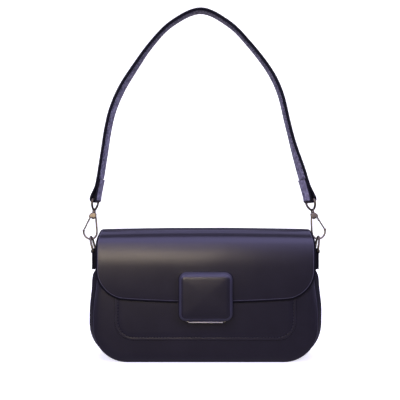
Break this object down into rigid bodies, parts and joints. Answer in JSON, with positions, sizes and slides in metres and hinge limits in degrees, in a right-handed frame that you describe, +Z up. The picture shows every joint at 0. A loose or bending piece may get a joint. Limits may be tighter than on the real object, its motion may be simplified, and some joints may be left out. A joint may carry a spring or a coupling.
{
  "type": "flap shoulder bag",
  "caption": "Structured leather shoulder bag with a front flap, a square magnetic clasp pad and a short strap on swivel snap hooks.",
  "frame": {"origin": "middle of the base's underside, on the surface that the bag stands on", "axes": "+Z up, the flap and the clasp face -Y, +X to the right as seen from the front"},
  "size_m": [0.274, 0.0875, 0.3892],
  "materials": {
    "body_leather": "smooth semi-matte, near-black navy",
    "tab_leather": "smooth semi-matte, near-black navy",
    "strap_inner_leather": "matte, muted violet grey",
    "lining_cloth": "plain dark woven cloth",
    "board_stock": "plain sheet",
    "pale_gold": "polished, pale gold plated",
    "plate_metal": "bright plated",
    "magnet_metal": "plain plated",
    "spring_steel": "plain"
  },
  "bodies": {
    "bag": {"back_panel": "body_leather", "front_panel": "body_leather", "gusset": "body_leather", "front_patch": "body_leather", "lining": "lining_cloth", "base_board": "board_stock", "facing_front": "body_leather", "facing_back": "body_leather", "flap_tail": "body_leather", "keeper_magnet": "magnet_metal", "tab_left": "tab_leather", "tab_right": "tab_leather", "tab_rivet_left": "pale_gold", "tab_rivet_right": "pale_gold"},
    "flap": {"flap_shell": "body_leather", "flap_lining": "lining_cloth", "clasp_pad": "body_leather", "clasp_plate": "plate_metal", "clasp_magnet": "magnet_metal", "clasp_rivet_left": "pale_gold", "clasp_rivet_right": "pale_gold"},
    "ring_left": {"ring_left": "pale_gold"},
    "ring_right": {"ring_right": "pale_gold"},
    "strap": {"strap_band": "body_leather", "strap_lining": "strap_inner_leather", "eye_left": "pale_gold", "eye_right": "pale_gold"},
    "hook_left": {"hook_left": "pale_gold", "gate_pin_left": "pale_gold", "gate_spring_left": "spring_steel"},
    "hook_right": {"hook_right": "pale_gold", "gate_pin_right": "pale_gold", "gate_spring_right": "spring_steel"},
    "gate_left": {"gate_left": "pale_gold"},
    "gate_right": {"gate_right": "pale_gold"}
  },
  "joints": [
    {"name": "flap_open", "type": "hinge", "parent": "bag", "child": "flap", "pos_m": [0, 0.0362, 0.132], "axis": [-1, 0, 0], "range_deg": [0, 150], "deforming": ["strap_band", "strap_lining"]},
    {"name": "strap_swing", "type": "hinge", "parent": "bag", "child": "strap", "pos_m": [0, 0, 0.12443], "axis": [1, 0, 0], "range_deg": [-85, 85]},
    {"name": "ring_left_tilt", "type": "hinge", "parent": "bag", "child": "ring_left", "pos_m": [-0.1248, 0, 0.11715], "axis": [0, 1, 0], "range_deg": [-1.5, 1.5]},
    {"name": "ring_right_tilt", "type": "hinge", "parent": "bag", "child": "ring_right", "pos_m": [0.1248, 0, 0.11715], "axis": [0, 1, 0], "range_deg": [-1.5, 1.5]},
    {"name": "hook_left_swivel", "type": "hinge", "parent": "strap", "child": "hook_left", "pos_m": [-0.12919, 0, 0.12949], "axis": [0.1236, 0, 0.9923], "range_deg": [-10, 10]},
    {"name": "hook_right_swivel", "type": "hinge", "parent": "strap", "child": "hook_right", "pos_m": [0.12803, 0, 0.12986], "axis": [-0.2283, 0, 0.9736], "range_deg": [-10, 10]},
    {"name": "gate_left_open", "type": "hinge", "parent": "hook_left", "child": "gate_left", "pos_m": [-0.12908, 0, 0.15588], "axis": [0, -1, 0], "range_deg": [0, 28], "stiffness_Nm_per_rad": 0.01, "springref_deg": -5.73, "deforming": ["gate_spring_left"]},
    {"name": "gate_right_open", "type": "hinge", "parent": "hook_right", "child": "gate_right", "pos_m": [0.12511, 0, 0.15609], "axis": [0, 1, 0], "range_deg": [0, 28], "stiffness_Nm_per_rad": 0.01, "springref_deg": -5.73, "deforming": ["gate_spring_right"]}
  ]
}
